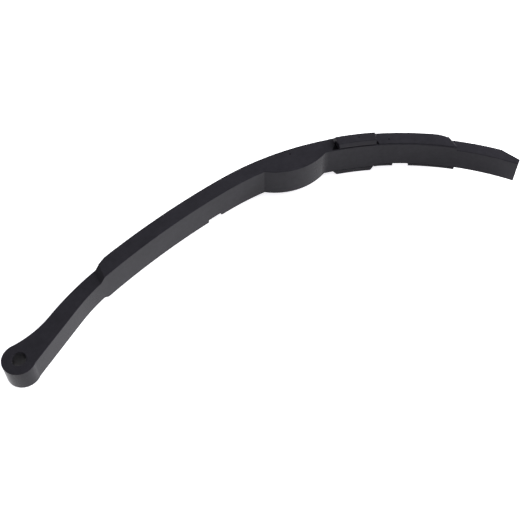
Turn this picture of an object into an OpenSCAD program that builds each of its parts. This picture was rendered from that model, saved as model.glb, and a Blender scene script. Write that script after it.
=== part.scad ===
// Timing chain guide: a moulded arm on a pivot pin, with a wear shoe clipped over its chain side.
// Frame: millimetres, origin on the pivot axis at mid thickness, +Z along the pivot axis,
// +X from the pivot towards the tip, +Y towards the chain.

/* [Pivot eye] */
// Outer diameter of the eye
eye_d = 19; // [17:0.5:22]
// Diameter of the plain pivot bore
bore_d = 8; // [6:0.1:10]
// Thickness of the eye and the neck
eye_t = 15; // [13:0.5:16]

/* [Arm] */
// Distance from the pivot to the crown of the running face, along the arm
crown_x = 184; // [182:0.5:186]
// Height of the crown of the running face above the pivot
crown_y = 68.4; // [67.6:0.2:69.4]
// Radius of the running face from the crown to the tip
crown_r = 188; // [185:1:192]
// Radius of the running face on the pivot side
lead_r = 520; // [500:5:560]
// Angle from the crown back to where the two radii meet
blend_a = 11.2; // [10:0.2:12]
// Depth of the arm from the running face to the back wall
arm_depth = 10.2; // [9.4:0.2:11.4]
// Radius of the back wall on the pivot side
back_lead_r = 480; // [460:5:500]
// Thickness of the main stretch and of the running face
arm_t = 20; // [19:0.5:22]
// Thickness of the slimmer stretch behind the clips
tip_t = 16; // [15:0.5:17]
// Angle from the crown to the end face of the tip
tip_a = 49.3; // [48:0.1:51]
// Angle from the crown at which the tip starts to taper
taper_a = 45.4; // [44:0.1:46.5]
// Slope of the taper on the tip
taper_slope = 20; // [10:1:22]

/* [Neck] */
// Distance from the pivot axis to the straight back edge of the neck
neck_back = 9.1; // [8.6:0.1:9.4]
// Direction of the straight back edge of the neck
neck_a = 35; // [34:0.5:36]
// Depth of the neck's chain side below the running face, where the two meet
neck_step = 1.5; // [1:0.1:1.8]
// Radius of the chain side of the neck
neck_r = 185; // [170:5:210]
// Fillet between the eye and the chain side of the neck
eye_fillet_r = 55; // [35:1:65]
// Fillet between the back edge of the neck and the back wall
back_fillet_r = 115; // [100:5:140]
// Distance from the pivot at which the main stretch reaches its full thickness
shoulder_x = 59.3; // [58:0.1:62]
// Length of the ramps from the neck up to the main stretch
shoulder_run = 2.8; // [2:0.1:6]

/* [Tensioner boss] */
// Radius of the pad that the tensioner plunger pushes on
boss_r = 39; // [36:1:46]
// Height of the pad above the back wall
boss_proud = 7; // [5:0.1:9]
// Angle from the crown to the middle of the pad
boss_a = 3.6; // [3:0.1:4.5]

/* [Wear shoe] */
// Thickness of the running strip
strip_t = 2; // [1.6:0.1:2.6]
// Distance from the pivot to the square-cut end of the shoe
shoe_end_x = 291.5; // [288:0.5:295]
// Length of the bevels at both ends of the running face
bevel_run = 6; // [3:0.5:8]
// Depth of the bevels at both ends of the running face
bevel_depth = 1.3; // [0.8:0.1:1.4]
// Play between the shoe and the sides of the arm
side_play = 0.1; // [0.05:0.05:0.2]

/* [Clips] */
// Thickness over both clips
clip_t = 27; // [25:0.5:29]
// Angle from the crown to the near end of the clips
clip_start_a = 13; // [12.8:0.1:13.4]
// Angle from the crown to the far end of the clips
clip_end_a = 20.7; // [20:0.1:21.5]
// Set-back of the clips' outer faces from the running face
clip_set_back = 2.2; // [1.6:0.1:3]
// Step between the running face and the foot of each clip's shoulder
clip_step = 0.3; // [0.2:0.1:0.6]
// Length of the ramp at the near end of the upper clip
clip_ramp = 2; // [1:0.1:3]
// Width of the bevel along the back edge of the upper clip
clip_edge_w = 1; // [0.5:0.1:1.5]
// Height of the bevel along the back edge of the upper clip
clip_edge_h = 1.8; // [1:0.1:2.4]
// Bevel length at the near end of the lower clip
clip_near_bevel = 2.7; // [1.5:0.1:3.5]
// Bevel length at the far end of the lower clip
clip_far_bevel = 1.6; // [1:0.1:2.5]
// Ledge of the arm left bare along the back edge of the upper clip
clip_ledge = 0.6; // [0.4:0.1:1]
// Height of the snap rib inside each clip
snap_h = 1; // [0.6:0.1:1.2]
// Width of the snap rib inside each clip
snap_w = 2; // [1.5:0.1:2.5]
// Distance from each end of a clip to its snap rib
snap_margin = 6; // [4:0.5:9]

/* [Side flanges] */
// Rim of the arm along the back edge of the upper flange, with its play
flange_ledge = 0.9; // [0.6:0.1:1.5]
// Width of the notch where the upper flange leaves the clip
notch_w = 2.2; // [1.4:0.2:6]
// Depth of the notch where the upper flange leaves the clip
notch_depth = 3; // [2:0.2:5]
// Sink of the notch below the upper face
notch_sink = 1; // [0.6:0.1:1.6]
// Angle from the crown to the start of the gap in the lower flange
gap_start_a = 24.6; // [24:0.1:25]
// Angle from the crown to the end of the gap in the lower flange
gap_end_a = 27.8; // [27:0.1:28.5]

/* [Heel hook] */
// Thickness of the hook that holds the pivot end of the shoe
hook_t = 2.2; // [1.6:0.1:3]
// Reach of the hook into the arm
hook_reach = 3.2; // [2.4:0.1:4]
// Width of the hook across the arm
hook_w = 12; // [8:0.5:14]
// Distance from the heel of the shoe to the middle of the hook
hook_from_heel = 4.4; // [4:0.1:8]
// Lean of the hook towards the pivot
hook_lean = 25; // [10:1:35]
// Play of the hook in its slot
hook_play = 0.15; // [0.1:0.05:0.3]

/* [Pockets] */
// Depth of the three-cornered pocket beside the upper clip
pocket_depth = 2; // [1.5:0.5:4]
// Depth of the pocket's far corner below the running face
pocket_top = 4.3; // [3.2:0.1:6]
// Width of the pocket at the back wall
pocket_w = 4.7; // [3.6:0.1:6]
// Reach of the pocket past the start of the upper clip, and of its far corner short of it
pocket_past = 0.7; // [0.3:0.1:1.2]
// Wall left between the pocket and the back wall
pocket_wall = 0.8; // [0.6:0.1:1.2]
// Distance from the pivot to the relief slot in the lower face
slot_x = 138.4; // [130:0.2:146]
// Width of the relief slot
slot_w = 9.6; // [7:0.2:11]
// Depth of the relief slot
slot_depth = 2.2; // [1.5:0.1:3]
// Reach of the relief slot in from the back wall
slot_reach = 4; // [2:0.5:5]

/* [Hidden] */

$fn = 360;
plastic = [0.17, 0.17, 0.18];
shoe_plastic = [0.15, 0.15, 0.16];

eye_r = eye_d / 2;
half_t = arm_t / 2;
tip_half_t = tip_t / 2;
clip_half_t = clip_t / 2;
back_r = crown_r - arm_depth;
lead_seat_r = lead_r - strip_t;

// Centres of the two running-face radii
crown_c = [crown_x, crown_y - crown_r];
blend_out = [-sin(blend_a), cos(blend_a)];
lead_c = crown_c + (crown_r - lead_r) * blend_out;

// Centre of the back wall on the pivot side, which meets the crown's back wall on the same line
back_lead_c = crown_c + (back_r - back_lead_r) * blend_out;

// Angle on the pivot-side radius at which the main stretch starts
heel_a = asin((lead_c.x - shoulder_x) / lead_seat_r);
heel_out = [-sin(heel_a), cos(heel_a)];

// Centre of the boss pad
boss_c = crown_c + (back_r - boss_proud + boss_r) * [sin(boss_a), cos(boss_a)];

// Centre of the neck's chain side, which starts square to the end of the shoe
neck_c = lead_c + (lead_r - neck_step - neck_r) * heel_out;

// The eye fillet runs into the eye by this much, so that the two cut each other cleanly
fillet_sink = 0.05;
// Centre of the eye fillet, outside both the eye and the neck's chain side
fillet_c = outer_meet([0, 0], eye_r - fillet_sink + eye_fillet_r, neck_c, neck_r + eye_fillet_r);

// Back edge of the neck: a straight line, then a fillet tangent to it and to the back wall
neck_along = [cos(neck_a), sin(neck_a)];
neck_out = [sin(neck_a), -cos(neck_a)];
fillet_line = (neck_back + back_fillet_r) * neck_out;
fillet_run = line_circle_run(fillet_line - back_lead_c, neck_along, back_lead_r - back_fillet_r);
back_c = fillet_line + fillet_run * neck_along;
back_meet_a = angle_of(back_c - back_lead_c);

// Angles from the crown to the pocket's far corner and to its end under the upper clip
pocket_top_a = clip_start_a - run_angle(pocket_past);
pocket_end_a = clip_start_a + run_angle(pocket_past);

// Blocks that cut or bound the arm reach past it by this much
beyond = 40;
// Reach of a block that spans the whole arm
span = 400;
// A cut that ends on a face of its own runs past that face by this much
over = 1;

// Number of flats along each stretch of the curved outlines
lead_flats = 24;
crown_flats = 60;
fillet_flats = 16;

function angle_of(v) = atan2(v.y, v.x);
function on_circle(c, r, a) = c + r * [cos(a), sin(a)];
function between(a0, a1, i, n) = a0 + (a1 - a0) * i / n;
function arc(c, r, a0, a1, n) = [for (i = [0:n]) on_circle(c, r, between(a0, a1, i, n))];
// All points of a list but the first, for an outline that goes on from there
function rest(points) = [for (i = [1:len(points) - 1]) points[i]];
function reversed(points) = [for (i = [len(points) - 1:-1:0]) points[i]];
// Point on the crown radius system: depth below the running face, angle from the crown towards the tip
function crown_point(depth, a) = crown_c + (crown_r - depth) * [sin(a), cos(a)];
// The same on the pivot-side radius, with the angle towards the pivot
function lead_point(depth, a) = lead_c + (lead_r - depth) * [-sin(a), cos(a)];
// Curve at one depth below the running face, between two angles from the crown
function crown_curve(depth, a0, a1) =
    [for (i = [0:crown_flats]) crown_point(depth, between(a0, a1, i, crown_flats))];
// Curve at one depth below the running face, from the heel of the shoe to the tip
function run_curve(depth) = concat(
    [for (i = [0:lead_flats]) lead_point(depth, between(heel_a, blend_a, i, lead_flats))],
    rest(crown_curve(depth, -blend_a, tip_a))
);
// Curve of the arm's back edge, from the eye to the tip
function back_curve() = concat(
    [neck_back * neck_out],
    arc(back_c, back_fillet_r, angle_of(-neck_out), back_meet_a, fillet_flats),
    rest(arc(back_lead_c, back_lead_r, back_meet_a, 90 + blend_a, lead_flats)),
    rest(arc(crown_c, back_r, 90 + blend_a, 90 - tip_a, crown_flats))
);
// Curve of the neck's chain side, from the heel of the shoe to the eye
function neck_curve() = concat(
    arc(neck_c, neck_r, 90 + heel_a, angle_of(fillet_c - neck_c), fillet_flats),
    rest(arc(fillet_c, eye_fillet_r, angle_of(neck_c - fillet_c), angle_of(-fillet_c), fillet_flats))
);
// Angle about the crown centre that spans a run along the back wall
function run_angle(run) = run / back_r * 180 / PI;
// Upper meeting point of two circles
function outer_meet(c0, r0, c1, r1) =
    let (d = norm(c1 - c0),
         u = (c1 - c0) / d,
         x = (d * d + r0 * r0 - r1 * r1) / (2 * d),
         y = sqrt(r0 * r0 - x * x))
    c0 + x * u + y * [-u.y, u.x];
// Run along a line, given from a circle's centre, to where it leaves the circle
function line_circle_run(from, along, r) =
    let (b = from * along)
    -b + sqrt(b * b - from * from + r * r);
// Rectangular section in depth below the running face and height
function block(depth0, depth1, z0, z1) =
    [[depth0, z0], [depth1, z0], [depth1, z1], [depth0, z1]];
// Section of the upper snap rib, or of its groove where it has play
function snap_section(play) =
    let (middle = (strip_t + arm_depth - clip_ledge) / 2)
    block(middle - snap_w / 2 - play, middle + snap_w / 2 + play, half_t - snap_h - play, half_t + over);
// Angles from the crown to both ends of a snap rib, or of its groove where it has play
function snap_ends(play) =
    let (margin_a = run_angle(snap_margin - play))
    [clip_start_a + margin_a, clip_end_a - margin_a];

// Section in depth and height, swept about the crown centre between two angles from the crown
module crown_sweep(section, a0, a1) {
    translate(crown_c)
        rotate([0, 0, 90 - a1])
            rotate_extrude(angle = a1 - a0)
                polygon([for (p = section) [crown_r - p.x, p.y]]);
}

// Side profile of the arm: slim eye and neck, then ramps up to the main stretch
module side_profile() {
    upper = [
        [-beyond, eye_t / 2],
        [shoulder_x - shoulder_run, eye_t / 2],
        [shoulder_x, half_t],
        [span, half_t]
    ];
    lower = [for (i = [len(upper) - 1:-1:0]) [upper[i].x, -upper[i].y]];
    translate([0, span / 2, 0])
        rotate([90, 0, 0])
            linear_extrude(span)
                polygon(concat(upper, lower));
}

// Plan of the whole arm but the eye and the boss
module arm_plan() {
    polygon(concat([[0, 0]], back_curve(), reversed(run_curve(strip_t)), neck_curve()));
}

// Slice above one flat face of the end stretch, which leaves room for the shoe's flange
module flange_room() {
    translate([0, 0, tip_half_t])
        linear_extrude(beyond)
            polygon([
                crown_c,
                crown_c + span * [sin(clip_end_a), cos(clip_end_a)],
                crown_c + span * [sin(tip_a + over), cos(tip_a + over)]
            ]);
}

// Rim that closes the upper room along the back wall, as far as the shoe reaches
module flange_rim() {
    rim_depth = arm_depth - flange_ledge + side_play;
    end_a = asin((shoe_end_x - crown_c.x) / (crown_r - rim_depth));
    translate([0, 0, tip_half_t - over])
        linear_extrude(beyond + 2 * over)
            polygon(concat(
                crown_curve(rim_depth, clip_end_a - over, end_a),
                reversed(crown_curve(arm_depth + over, clip_end_a - over, end_a))
            ));
}

module tensioner_boss() {
    intersection() {
        translate([boss_c.x, boss_c.y, -half_t])
            cylinder(r = boss_r, h = arm_t);
        crown_sweep(
            block(strip_t + over, arm_depth + boss_proud + over, -half_t - over, half_t + over),
            -blend_a,
            clip_end_a
        );
    }
}

// Half plane, as a block, on the outer side of a line that starts at a point and runs along an angle
module outer_side(at, a) {
    translate([at.x, at.y, -beyond])
        rotate([0, 0, a])
            translate([-beyond, 0, 0])
                cube([2 * beyond, beyond, 2 * beyond]);
}

module tip_taper() {
    outer_side(crown_point(strip_t, taper_a), -taper_a - taper_slope);
}

// Three-cornered pocket in the upper face, beside the clip
module clip_pocket() {
    near_depth = arm_depth - pocket_wall;
    translate([0, 0, half_t - pocket_depth])
        linear_extrude(pocket_depth + over)
            polygon([
                crown_point(pocket_top, pocket_top_a),
                crown_point(near_depth, pocket_end_a),
                crown_point(near_depth, pocket_end_a - run_angle(pocket_w))
            ]);
}

// Room over the pocket, which cuts the upper clip and its ramp back to the pocket's far side
module pocket_room() {
    before_a = pocket_top_a - run_angle(clip_ramp + 2 * over);
    translate([0, 0, half_t])
        linear_extrude(clip_half_t - half_t + over)
            polygon([
                crown_point(pocket_top, pocket_top_a),
                crown_point(arm_depth + over, pocket_end_a),
                crown_point(arm_depth + over, before_a),
                crown_point(pocket_top, before_a)
            ]);
}

// Slot across the back edge of the lower face
module relief_slot() {
    slot_a = asin((back_lead_c.x - slot_x) / back_lead_r);
    translate([back_lead_c.x, back_lead_c.y, -half_t - over])
        rotate([0, 0, slot_a])
            translate([-slot_w / 2, back_lead_r - over, 0])
                cube([slot_w, slot_reach + over, slot_depth + over]);
}

// Hook plan: a leaning tongue that starts in the running strip and reaches into the arm
module hook_plan(play) {
    hook_a = heel_a - hook_from_heel / lead_r * 180 / PI;
    lean = hook_reach * tan(hook_lean);
    foot = lead_point(strip_t, hook_a);
    translate(foot)
        rotate(hook_a)
            polygon([
                [hook_t / 2 + play, over],
                [-hook_t / 2 - play, over],
                [-hook_t / 2 - play - lean, -hook_reach - play],
                [hook_t / 2 + play - lean, -hook_reach - play]
            ]);
}

module both_sides() {
    children();
    mirror([0, 0, 1]) children();
}

module guide_arm() {
    color(plastic)
    difference() {
        union() {
            translate([0, 0, -eye_t / 2])
                cylinder(d = eye_d, h = eye_t);
            intersection() {
                side_profile();
                translate([0, 0, -half_t])
                    linear_extrude(arm_t)
                        arm_plan();
            }
            tensioner_boss();
        }
        translate([0, 0, -eye_t / 2 - over])
            cylinder(d = bore_d, h = eye_t + 2 * over);
        tip_taper();
        difference() {
            flange_room();
            flange_rim();
        }
        mirror([0, 0, 1]) flange_room();
        clip_pocket();
        relief_slot();
        translate([0, 0, -hook_w / 2 - hook_play])
            linear_extrude(hook_w + 2 * hook_play)
                hook_plan(hook_play);
        both_sides()
            crown_sweep(snap_section(side_play), snap_ends(side_play)[0], snap_ends(side_play)[1]);
    }
}

// Running strip over the whole chain side
module running_strip() {
    translate([0, 0, -half_t])
        linear_extrude(arm_t)
            polygon(concat(run_curve(strip_t), reversed(run_curve(0))));
}

// Block above a slope that falls from the clip's outer face, at an angle from the crown, along a run
module slope_cut(a, run) {
    more = over * run / (clip_half_t - half_t);
    end = run + more + sign(run) * 2 * over;
    translate(crown_c)
        rotate([90, 0, 180 - a])
            linear_extrude(crown_r + over)
                polygon([
                    [-more, clip_half_t + over],
                    [run + more, half_t - over],
                    [end, half_t - over],
                    [end, clip_half_t + over]
                ]);
}

// Clip over the upper face, with a sloping shoulder, a given back edge in depth and height, and a snap rib
// Its near end slopes, and its far end does if it has a run
module clip(back_edge, near_run, far_run = 0) {
    inner_z = half_t + side_play;
    sink = clip_step / 2;
    foot_depth = clip_step - sink * (clip_set_back - clip_step) / (clip_half_t - half_t);
    difference() {
        crown_sweep(concat(
            [
                [foot_depth, half_t - sink],
                [strip_t - clip_step, half_t - sink],
                [strip_t - clip_step, inner_z],
                [back_edge[0].x, inner_z]
            ],
            back_edge,
            [[clip_set_back, clip_half_t]]
        ), clip_start_a - run_angle(near_run + over), clip_end_a);
        slope_cut(clip_start_a, near_run);
        if (far_run > 0) slope_cut(clip_end_a - run_angle(far_run), -far_run);
    }
    crown_sweep(snap_section(0), snap_ends(0)[0], snap_ends(0)[1]);
}

module upper_clip() {
    back_depth = arm_depth - clip_ledge;
    difference() {
        clip([[back_depth, clip_half_t - clip_edge_h], [back_depth - clip_edge_w, clip_half_t]], clip_ramp);
        pocket_room();
    }
}

module lower_clip() {
    mirror([0, 0, 1])
        clip([[arm_depth, clip_half_t]], clip_near_bevel, clip_far_bevel);
}

// Flange along the slimmer stretch on the upper face
module flange(ledge) {
    start_a = clip_end_a + run_angle(side_play);
    inner_z = tip_half_t + side_play;
    translate([0, 0, inner_z])
        linear_extrude(half_t - inner_z)
            polygon(concat(
                crown_curve(clip_step, start_a, tip_a),
                reversed(crown_curve(arm_depth - ledge, start_a, tip_a))
            ));
}

// Three-cornered notch in the back edge of the upper flange, where it leaves the clip
module flange_notch() {
    edge_depth = arm_depth - flange_ledge;
    translate([0, 0, half_t - notch_sink])
        linear_extrude(notch_sink + over)
            polygon([
                crown_point(edge_depth - notch_depth, clip_end_a + run_angle(notch_w / 2)),
                crown_point(edge_depth + over, clip_end_a + run_angle(notch_w)),
                crown_point(edge_depth + over, clip_end_a)
            ]);
}

// Gap in the lower flange
module flange_gap() {
    section = block(strip_t + flange_ledge, arm_depth + over, -half_t - over, -tip_half_t);
    crown_sweep(section, gap_start_a, gap_end_a);
}

// Bevels that ease the chain on and off the running face
module running_bevels() {
    slope = atan(bevel_depth / bevel_run);
    end_a = asin((shoe_end_x - crown_c.x) / crown_r);
    outer_side(lead_point(bevel_depth, heel_a), heel_a + slope);
    outer_side(crown_point(bevel_depth, end_a), -end_a - slope);
}

module wear_shoe() {
    color(shoe_plastic)
    difference() {
        union() {
            running_strip();
            upper_clip();
            lower_clip();
            flange(flange_ledge);
            mirror([0, 0, 1]) flange(0);
            translate([0, 0, -hook_w / 2])
                linear_extrude(hook_w)
                    hook_plan(0);
        }
        translate([shoe_end_x, -span / 2, -beyond])
            cube([span, span, 2 * beyond]);
        running_bevels();
        flange_notch();
        flange_gap();
    }
}

guide_arm();
wear_shoe();
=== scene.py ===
import bmesh
import bpy
import math
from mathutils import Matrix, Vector


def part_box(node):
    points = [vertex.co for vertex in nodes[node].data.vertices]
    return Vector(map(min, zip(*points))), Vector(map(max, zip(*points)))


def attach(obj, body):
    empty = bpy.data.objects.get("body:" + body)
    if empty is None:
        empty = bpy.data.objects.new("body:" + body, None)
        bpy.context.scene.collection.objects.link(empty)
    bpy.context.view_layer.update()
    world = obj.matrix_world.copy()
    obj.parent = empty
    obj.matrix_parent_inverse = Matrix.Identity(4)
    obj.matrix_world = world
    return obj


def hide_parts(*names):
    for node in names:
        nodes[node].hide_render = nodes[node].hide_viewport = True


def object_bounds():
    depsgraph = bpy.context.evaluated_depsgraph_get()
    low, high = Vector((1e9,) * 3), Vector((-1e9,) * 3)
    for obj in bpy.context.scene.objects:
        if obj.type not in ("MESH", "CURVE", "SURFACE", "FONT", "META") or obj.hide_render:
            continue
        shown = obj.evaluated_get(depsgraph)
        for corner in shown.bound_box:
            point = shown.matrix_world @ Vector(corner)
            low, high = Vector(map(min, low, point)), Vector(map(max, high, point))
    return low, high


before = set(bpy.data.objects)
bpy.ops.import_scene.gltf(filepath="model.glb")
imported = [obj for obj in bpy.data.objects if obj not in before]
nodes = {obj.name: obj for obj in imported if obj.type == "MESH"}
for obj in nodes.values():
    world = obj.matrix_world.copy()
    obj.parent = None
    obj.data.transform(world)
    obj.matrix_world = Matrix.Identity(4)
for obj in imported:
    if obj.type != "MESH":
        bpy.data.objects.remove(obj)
cad_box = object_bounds()
MM = 0.001

# Sizes that the solids were made with, in millimetres
CROWN_C = Vector((184.0, -119.6))
CROWN_R = 188.0
LEAD_R = 520.0
BLEND_A = math.radians(11.2)
LEAD_C = CROWN_C + (CROWN_R - LEAD_R) * Vector((-math.sin(BLEND_A), math.cos(BLEND_A)))
STRIP_T = 2.0
ARM_DEPTH = 10.2
HALF_T = 10.0
HEEL_X = 59.5
SHOE_END_X = 291.5
NOTCH_END_X = 249.4
CLIPS_X = (220.0, 252.0)
BORE_R = 4.0

# Rounding of the moulded edges, in millimetres
ROUND = 0.35
ROUND_STEPS = 3

# Faces that turn by less than the first angle are one, and edges that turn by the second are rounded
FLAT_ANGLE = math.radians(0.2)
EDGE_ANGLE = math.radians(25)

# Edges that still turn by this much are shaded as sharp, and large faces stay flat beside rounded ones
SHARP_ANGLE = math.radians(38)
NORMAL_WEIGHT = 80

# How far around the shoe's seat, the arm's back and the heel an edge counts as theirs, in millimetres
NEAR_SEAT = 0.3
NEAR_BACK = 1.5
NEAR_HEEL = 0.6

# Points closer than this are one, in metres
WELD = 2e-6

# Camera that fits the photo: lens and sensor in millimetres, angles in degrees, the rest in metres
LENS = 64.25
SENSOR = 36.0
CAMERA_AT = (0.009804, -0.273386, 0.442482)
CAMERA_TILT = 35.12
CAMERA_TURN = -26.0
CAMERA_CLIP = (0.01, 60.0)

# Finish of the plastic
BASE = (0.0168, 0.0161, 0.0199)
TONES = (0.82, 1.18)
SPECULAR_TINT = (0.95, 0.94, 1.0, 1.0)
IOR = 1.215
ARM_ROUGH = 0.22
SHOE_ROUGH = 0.21
ROUGH_SPREAD = 0.04

# How much rougher the bore is, and between which distances outside its radius that fades, in millimetres
BORE_ROUGHER = 0.3
BORE_FADE = (0.02, 0.1)

# Noises: features per metre, detail and roughness
ARM_GRAIN = (1800, 3, 0.6)
SHOE_GRAIN = (2400, 3, 0.6)
MOTTLE = (320, 5, 0.65)
SINK = (55, 2, 0.5)

# Range that the noises mostly keep to, and what two of them add to the tone
NOISE_RANGE = (0.3, 0.7)
MOTTLE_TONE = (-0.3, 0.3)
SINK_TONE = (0.2, 0.8)

# Bumps: strength, and height in metres
SINK_BUMP = (0.12, 0.0004)
GRAIN_BUMP = (0.2, 0.00005)

# Small dark specks on the top faces at three given points, in millimetres
SPECKS = [(195.05, 64.02, 10.0), (238.61, 54.98, 13.5), (256.56, 47.94, 10.0)]
SPECK_R = 0.7
SPECK_COLOUR = (0.002, 0.002, 0.0025, 1)

# Floor and world
FLOOR_HALF = 15.0
FLOOR_COLOUR = (0.8, 0.8, 0.8, 1)
GLOW_COLOUR = (0.985, 0.975, 1.0, 1)
GLOW = 0.81
WORLD_COLOUR = (0.96, 0.96, 1, 1)
WORLD = 0.52

# Lamps: name, place, target, width in metres, power in watts, and whether the plastic mirrors it
LAMPS = [
    ("key", (1.2, 0.05, 0.55), (0.15, 0.03, 0), 0.95, 27, False),
    ("front", (0.15, -1.2, 0.2), (0.24, 0.05, 0), 0.5, 1.4, True),
    ("rim", (1.31, 0.59, 0.1), (0.29, 0.03, 0), 0.2, 3.0, True),
]


def link(name, data):
    obj = bpy.data.objects.new(name, data)
    bpy.context.scene.collection.objects.link(obj)
    return obj


# Depth of a point below the running face, in millimetres
def depth_of(p):
    q = Vector((p.x / MM, p.y / MM))
    from_crown = q - CROWN_C
    if math.atan2(from_crown.x, from_crown.y) > -BLEND_A:
        return CROWN_R - from_crown.length
    return LEAD_R - (q - LEAD_C).length


def mid(e):
    return (e.verts[0].co + e.verts[1].co) / 2


# Edges of the arm to round: all but those under the shoe
def arm_edge(e):
    m = mid(e)
    along = HEEL_X - NEAR_HEEL < m.x / MM < SHOE_END_X
    return not (along and depth_of(m) < ARM_DEPTH - NEAR_BACK)


# Edges of the shoe to round: the running face's, the clips' outer ones and the flanges' past the notch.
# Beside the clips the steps are smaller than the rounding, so the running face's edges stay sharp there.
def shoe_edge(e):
    m = mid(e)
    d = depth_of(m)
    z = abs(m.z) / MM
    by_clip = CLIPS_X[0] < m.x / MM < CLIPS_X[1]
    on_face = d < STRIP_T - NEAR_SEAT and not by_clip
    on_clip = z > HALF_T + NEAR_SEAT
    on_flange = m.x / MM > NOTCH_END_X and d > STRIP_T + NEAR_SEAT and z > HALF_T - NEAR_SEAT
    return on_face or on_clip or on_flange


# Copy of a solid with its wanted edges rounded, held to the solid's box and freed of slivers
def rounded_copy(node, name, wanted):
    mesh = bpy.data.meshes.new(name)
    bm = bmesh.new()
    bm.from_mesh(nodes[node].data)
    bmesh.ops.remove_doubles(bm, verts=bm.verts, dist=WELD)
    bmesh.ops.dissolve_limit(
        bm, angle_limit=FLAT_ANGLE, verts=bm.verts, edges=bm.edges, use_dissolve_boundaries=False
    )
    bm.normal_update()
    picked = []
    for e in bm.edges:
        if len(e.link_faces) == 2 and e.is_convex and e.calc_face_angle(0.0) >= EDGE_ANGLE and wanted(e):
            picked.append(e)
    bmesh.ops.bevel(
        bm, geom=picked, offset=ROUND * MM, offset_type="OFFSET", segments=ROUND_STEPS, profile=0.5,
        affect="EDGES", clamp_overlap=False, loop_slide=True, material=-1
    )
    low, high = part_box(node)
    for v in bm.verts:
        v.co = [min(max(c, a), b) for c, a, b in zip(v.co, low, high)]
    bmesh.ops.dissolve_degenerate(bm, dist=WELD, edges=bm.edges)
    bmesh.ops.dissolve_verts(bm, verts=[v for v in bm.verts if len(v.link_edges) == 2])
    bmesh.ops.triangulate(bm, faces=[f for f in bm.faces if len(f.verts) > 4])
    for f in bm.faces:
        f.smooth = True
    for e in bm.edges:
        e.smooth = e.calc_face_angle(0.0) < SHARP_ANGLE
    bm.to_mesh(mesh)
    bm.free()
    obj = link(name, mesh)
    soft = obj.modifiers.new("soft_normals", "WEIGHTED_NORMAL")
    soft.keep_sharp = True
    soft.weight = NORMAL_WEIGHT
    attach(obj, "root")
    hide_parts(node)
    return obj


def node_tree(name):
    mat = bpy.data.materials.new(name)
    mat.use_nodes = True
    nt = mat.node_tree
    for n in list(nt.nodes):
        nt.nodes.remove(n)
    return mat, nt


def noise(nt, coord, scale, detail, roughness):
    n = nt.nodes.new("ShaderNodeTexNoise")
    n.inputs["Scale"].default_value = scale
    n.inputs["Detail"].default_value = detail
    n.inputs["Roughness"].default_value = roughness
    nt.links.new(coord, n.inputs["Vector"])
    return n.outputs["Fac"]


def math_node(nt, kind, a, b):
    n = nt.nodes.new("ShaderNodeMath")
    n.operation = kind
    for socket, value in zip(n.inputs, (a, b)):
        if isinstance(value, (int, float)):
            socket.default_value = value
        else:
            nt.links.new(value, socket)
    return n.outputs[0]


def map_range(nt, value, low, high, to_low, to_high):
    n = nt.nodes.new("ShaderNodeMapRange")
    nt.links.new(value, n.inputs["Value"])
    for key, v in zip(("From Min", "From Max", "To Min", "To Max"), (low, high, to_low, to_high)):
        n.inputs[key].default_value = v
    return n.outputs["Result"]


# One where the surface lies within a radius of a point, falling to nothing over its outer half
def spot(nt, coord, point, radius):
    n = nt.nodes.new("ShaderNodeVectorMath")
    n.operation = "DISTANCE"
    nt.links.new(coord, n.inputs[0])
    n.inputs[1].default_value = point
    return map_range(nt, n.outputs["Value"], radius / 2, radius, 1.0, 0.0)


# Distance of the surface from the bore's axis
def from_axis(nt, coord):
    flat = nt.nodes.new("ShaderNodeVectorMath")
    flat.operation = "MULTIPLY"
    nt.links.new(coord, flat.inputs[0])
    flat.inputs[1].default_value = (1.0, 1.0, 0.0)
    reach = nt.nodes.new("ShaderNodeVectorMath")
    reach.operation = "LENGTH"
    nt.links.new(flat.outputs["Vector"], reach.inputs[0])
    return reach.outputs["Value"]


def bump(nt, height, strength, distance, below=None):
    n = nt.nodes.new("ShaderNodeBump")
    n.inputs["Strength"].default_value = strength
    n.inputs["Distance"].default_value = distance
    nt.links.new(height, n.inputs["Height"])
    if below is not None:
        nt.links.new(below, n.inputs["Normal"])
    return n.outputs["Normal"]


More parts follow.
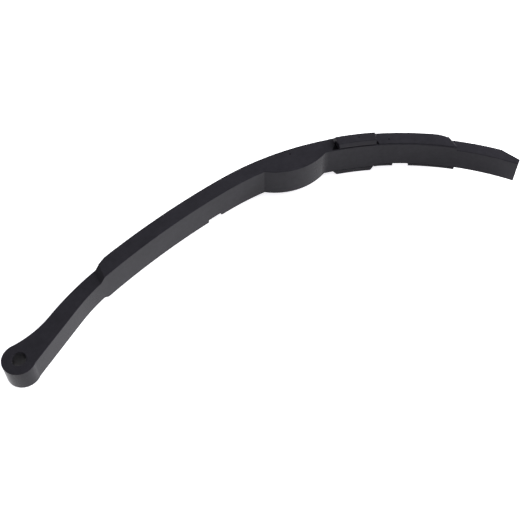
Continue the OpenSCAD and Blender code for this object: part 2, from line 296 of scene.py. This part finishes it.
# Black moulded plastic: mottled tone, uneven gloss, fine mould grain, slight sink marks and a few specks
def make_plastic(name, rough, grain_noise):
    mat, nt = node_tree(name)
    out = nt.nodes.new("ShaderNodeOutputMaterial")
    bsdf = nt.nodes.new("ShaderNodeBsdfPrincipled")
    nt.links.new(bsdf.outputs["BSDF"], out.inputs["Surface"])
    bsdf.inputs["IOR"].default_value = IOR
    bsdf.inputs["Specular Tint"].default_value = SPECULAR_TINT
    coord = nt.nodes.new("ShaderNodeTexCoord").outputs["Object"]
    grain = noise(nt, coord, *grain_noise)
    mottle = noise(nt, coord, *MOTTLE)
    sink = noise(nt, coord, *SINK)

    specks = None
    for p in SPECKS:
        s = spot(nt, coord, [c * MM for c in p], SPECK_R * MM)
        specks = s if specks is None else math_node(nt, "MAXIMUM", specks, s)

    small = map_range(nt, mottle, *NOISE_RANGE, *MOTTLE_TONE)
    large = map_range(nt, sink, *NOISE_RANGE, *SINK_TONE)
    ramp = nt.nodes.new("ShaderNodeValToRGB")
    for stop, tone in zip(ramp.color_ramp.elements, TONES):
        stop.color = (*[c * tone for c in BASE], 1)
    nt.links.new(math_node(nt, "ADD", small, large), ramp.inputs["Fac"])
    dark = nt.nodes.new("ShaderNodeMix")
    dark.data_type = "RGBA"
    nt.links.new(specks, dark.inputs["Factor"])
    nt.links.new(ramp.outputs["Color"], dark.inputs["A"])
    dark.inputs["B"].default_value = SPECK_COLOUR
    nt.links.new(dark.outputs["Result"], bsdf.inputs["Base Color"])

    fade = [(BORE_R + r) * MM for r in BORE_FADE]
    in_bore = map_range(nt, from_axis(nt, coord), *fade, BORE_ROUGHER, 0.0)
    uneven = map_range(nt, mottle, *NOISE_RANGE, rough - ROUGH_SPREAD, rough + ROUGH_SPREAD)
    nt.links.new(math_node(nt, "ADD", uneven, in_bore), bsdf.inputs["Roughness"])

    waves = bump(nt, sink, *SINK_BUMP)
    fine = bump(nt, grain, *GRAIN_BUMP, waves)
    nt.links.new(fine, bsdf.inputs["Normal"])
    return mat


def make_camera():
    data = bpy.data.cameras.new("photo_camera")
    data.sensor_width = SENSOR
    data.lens = LENS
    data.clip_start, data.clip_end = CAMERA_CLIP
    cam = link("photo_camera", data)
    cam.location = CAMERA_AT
    cam.rotation_euler = (math.radians(CAMERA_TILT), 0.0, math.radians(CAMERA_TURN))
    bpy.context.scene.camera = cam


# White floor under the part that keeps its shadow and looks white to the camera and in reflections
def make_floor():
    mesh = bpy.data.meshes.new("floor")
    z = cad_box[0].z
    signs = ((-1, -1), (1, -1), (1, 1), (-1, 1))
    mesh.from_pydata([(x * FLOOR_HALF, y * FLOOR_HALF, z) for x, y in signs], [], [(0, 1, 2, 3)])
    floor = link("floor", mesh)
    mat, nt = node_tree("white_floor")
    out = nt.nodes.new("ShaderNodeOutputMaterial")
    diff = nt.nodes.new("ShaderNodeBsdfDiffuse")
    diff.inputs["Color"].default_value = FLOOR_COLOUR
    glow = nt.nodes.new("ShaderNodeEmission")
    glow.inputs["Color"].default_value = GLOW_COLOUR
    path = nt.nodes.new("ShaderNodeLightPath")
    seen = math_node(nt, "MAXIMUM", path.outputs["Is Camera Ray"], path.outputs["Is Glossy Ray"])
    seen = math_node(nt, "MAXIMUM", seen, path.outputs["Is Transmission Ray"])
    nt.links.new(math_node(nt, "MULTIPLY", seen, GLOW), glow.inputs["Strength"])
    both = nt.nodes.new("ShaderNodeAddShader")
    nt.links.new(diff.outputs[0], both.inputs[0])
    nt.links.new(glow.outputs[0], both.inputs[1])
    nt.links.new(both.outputs[0], out.inputs["Surface"])
    mesh.materials.append(mat)


def make_world():
    world = bpy.data.worlds.new("studio")
    bpy.context.scene.world = world
    world.use_nodes = True
    bg = world.node_tree.nodes["Background"]
    bg.inputs["Color"].default_value = WORLD_COLOUR
    bg.inputs["Strength"].default_value = WORLD


# Soft round lamp; one that isn't mirrored lights the plastic without a glare on its flat faces
def make_lamp(name, place, target, width, power, mirrored):
    data = bpy.data.lights.new(name, "AREA")
    data.shape = "DISK"
    data.size = width
    data.energy = power
    lamp = link(name, data)
    lamp.location = place
    lamp.rotation_euler = (Vector(target) - Vector(place)).to_track_quat("-Z", "Y").to_euler()
    lamp.visible_glossy = mirrored


make_camera()
arm = rounded_copy("guide_arm", "guide_arm_body", arm_edge)
shoe = rounded_copy("wear_shoe", "wear_shoe_body", shoe_edge)
arm.data.materials.append(make_plastic("arm_plastic", ARM_ROUGH, ARM_GRAIN))
shoe.data.materials.append(make_plastic("shoe_plastic", SHOE_ROUGH, SHOE_GRAIN))
make_floor()
make_world()
for lamp_row in LAMPS:
    make_lamp(*lamp_row)

bpy.context.scene.view_settings.view_transform = "Standard"
